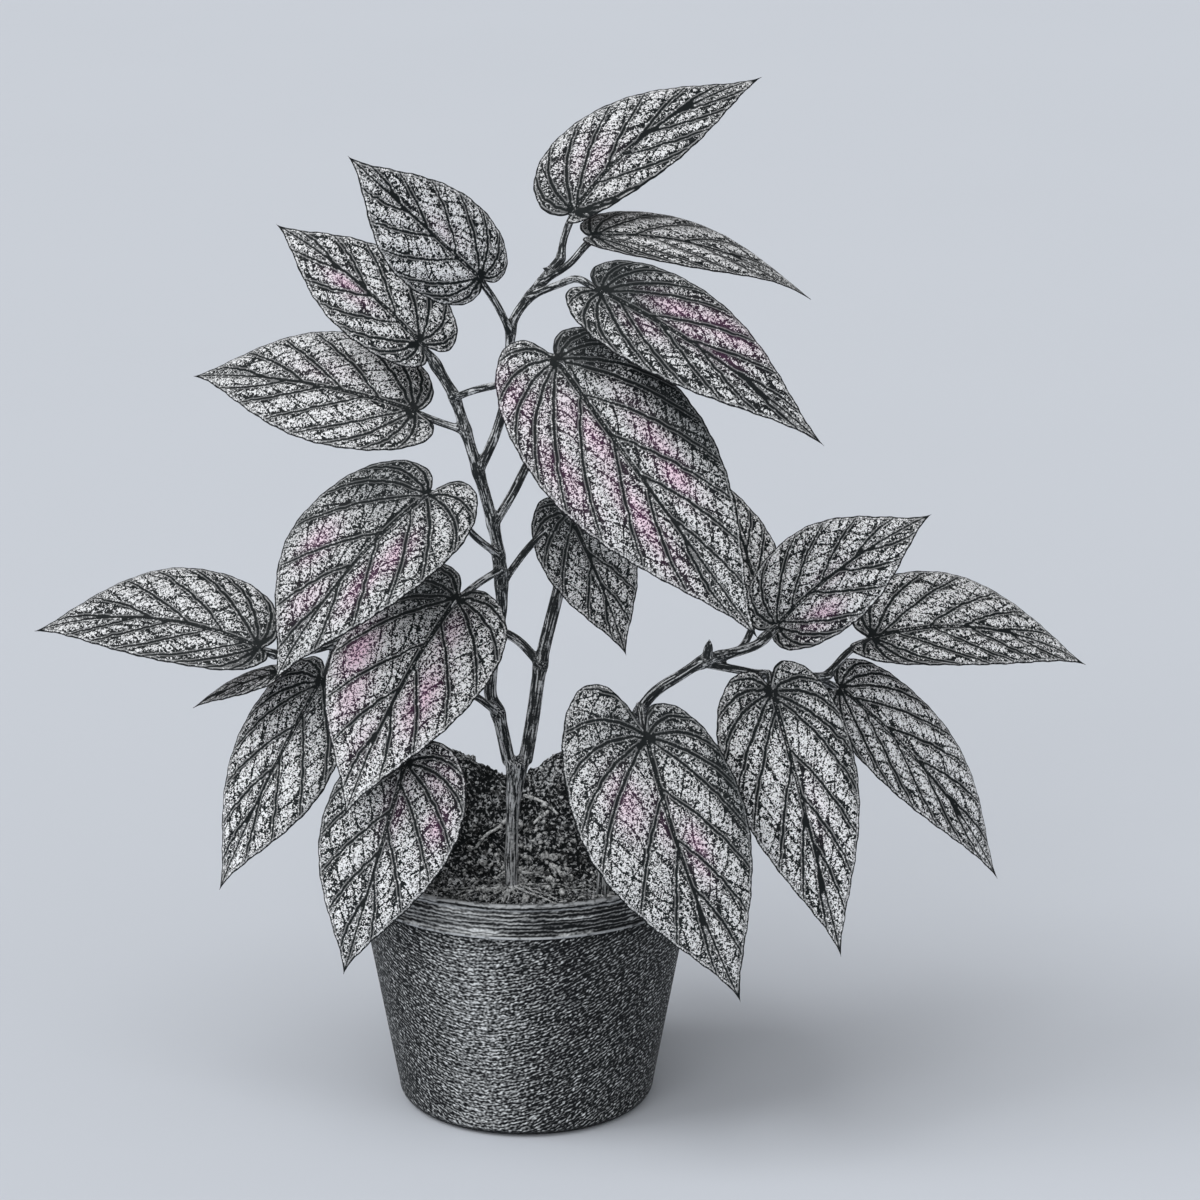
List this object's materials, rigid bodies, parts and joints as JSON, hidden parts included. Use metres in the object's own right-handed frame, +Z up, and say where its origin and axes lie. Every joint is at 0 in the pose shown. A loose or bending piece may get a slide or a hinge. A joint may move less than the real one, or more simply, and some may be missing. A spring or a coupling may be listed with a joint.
{
  "type": "potted angel wing begonia",
  "caption": "Angel wing begonia with pointed, heart-based leaves on forked canes and an arching side branch, rooted in heaped soil in a tapered round nursery pot with a rim band.",
  "frame": {"origin": "centre of the flat pad under the pot, on the surface that the pot stands on", "axes": "+Z up along the pot's axis; -Y is the plant's front, as the picture shows it; +X is to the right seen from the front"},
  "size_m": [0.5261, 0.2058, 0.5043],
  "materials": {
    "pot_plastic": "charcoal moulded plastic with fine rings of tooling marks and a dull sheen",
    "soil": "dark, crumbly potting mix of peat and bark with pale grains of perlite",
    "stem": "dark grey cane with lengthwise streaks and swollen joints",
    "leaf_blade": "silver-grey stippled blade, dark veins and edge, pink flush between the veins, satin"
  },
  "bodies": {
    "root": {"nursery_pot": "pot_plastic", "potting_soil": "soil", "trunk": "stem", "left_cane": "stem", "right_cane": "stem", "upper_cane": "stem", "side_shoot": "stem", "right_branch": "stem", "lower_twig": "stem", "left_shoot": "stem", "branch_bud": "stem", "crown_bud": "stem", "leaf_crown": "leaf_blade", "leaf_crown_side": "leaf_blade", "leaf_upper_right": "leaf_blade", "leaf_large_front": "leaf_blade", "leaf_upper_left": "leaf_blade", "leaf_left_top": "leaf_blade", "leaf_mid_left": "leaf_blade", "leaf_left_front_upper": "leaf_blade", "leaf_left_front_lower": "leaf_blade", "leaf_inner": "leaf_blade", "leaf_far_left": "leaf_blade", "leaf_young": "leaf_blade", "leaf_lower_left": "leaf_blade", "leaf_rim_left": "leaf_blade", "leaf_rim_right": "leaf_blade", "leaf_branch_front": "leaf_blade", "leaf_branch_hanging": "leaf_blade", "leaf_branch_top": "leaf_blade", "leaf_branch_back": "leaf_blade", "leaf_far_right": "leaf_blade"}
  },
  "joints": []
}
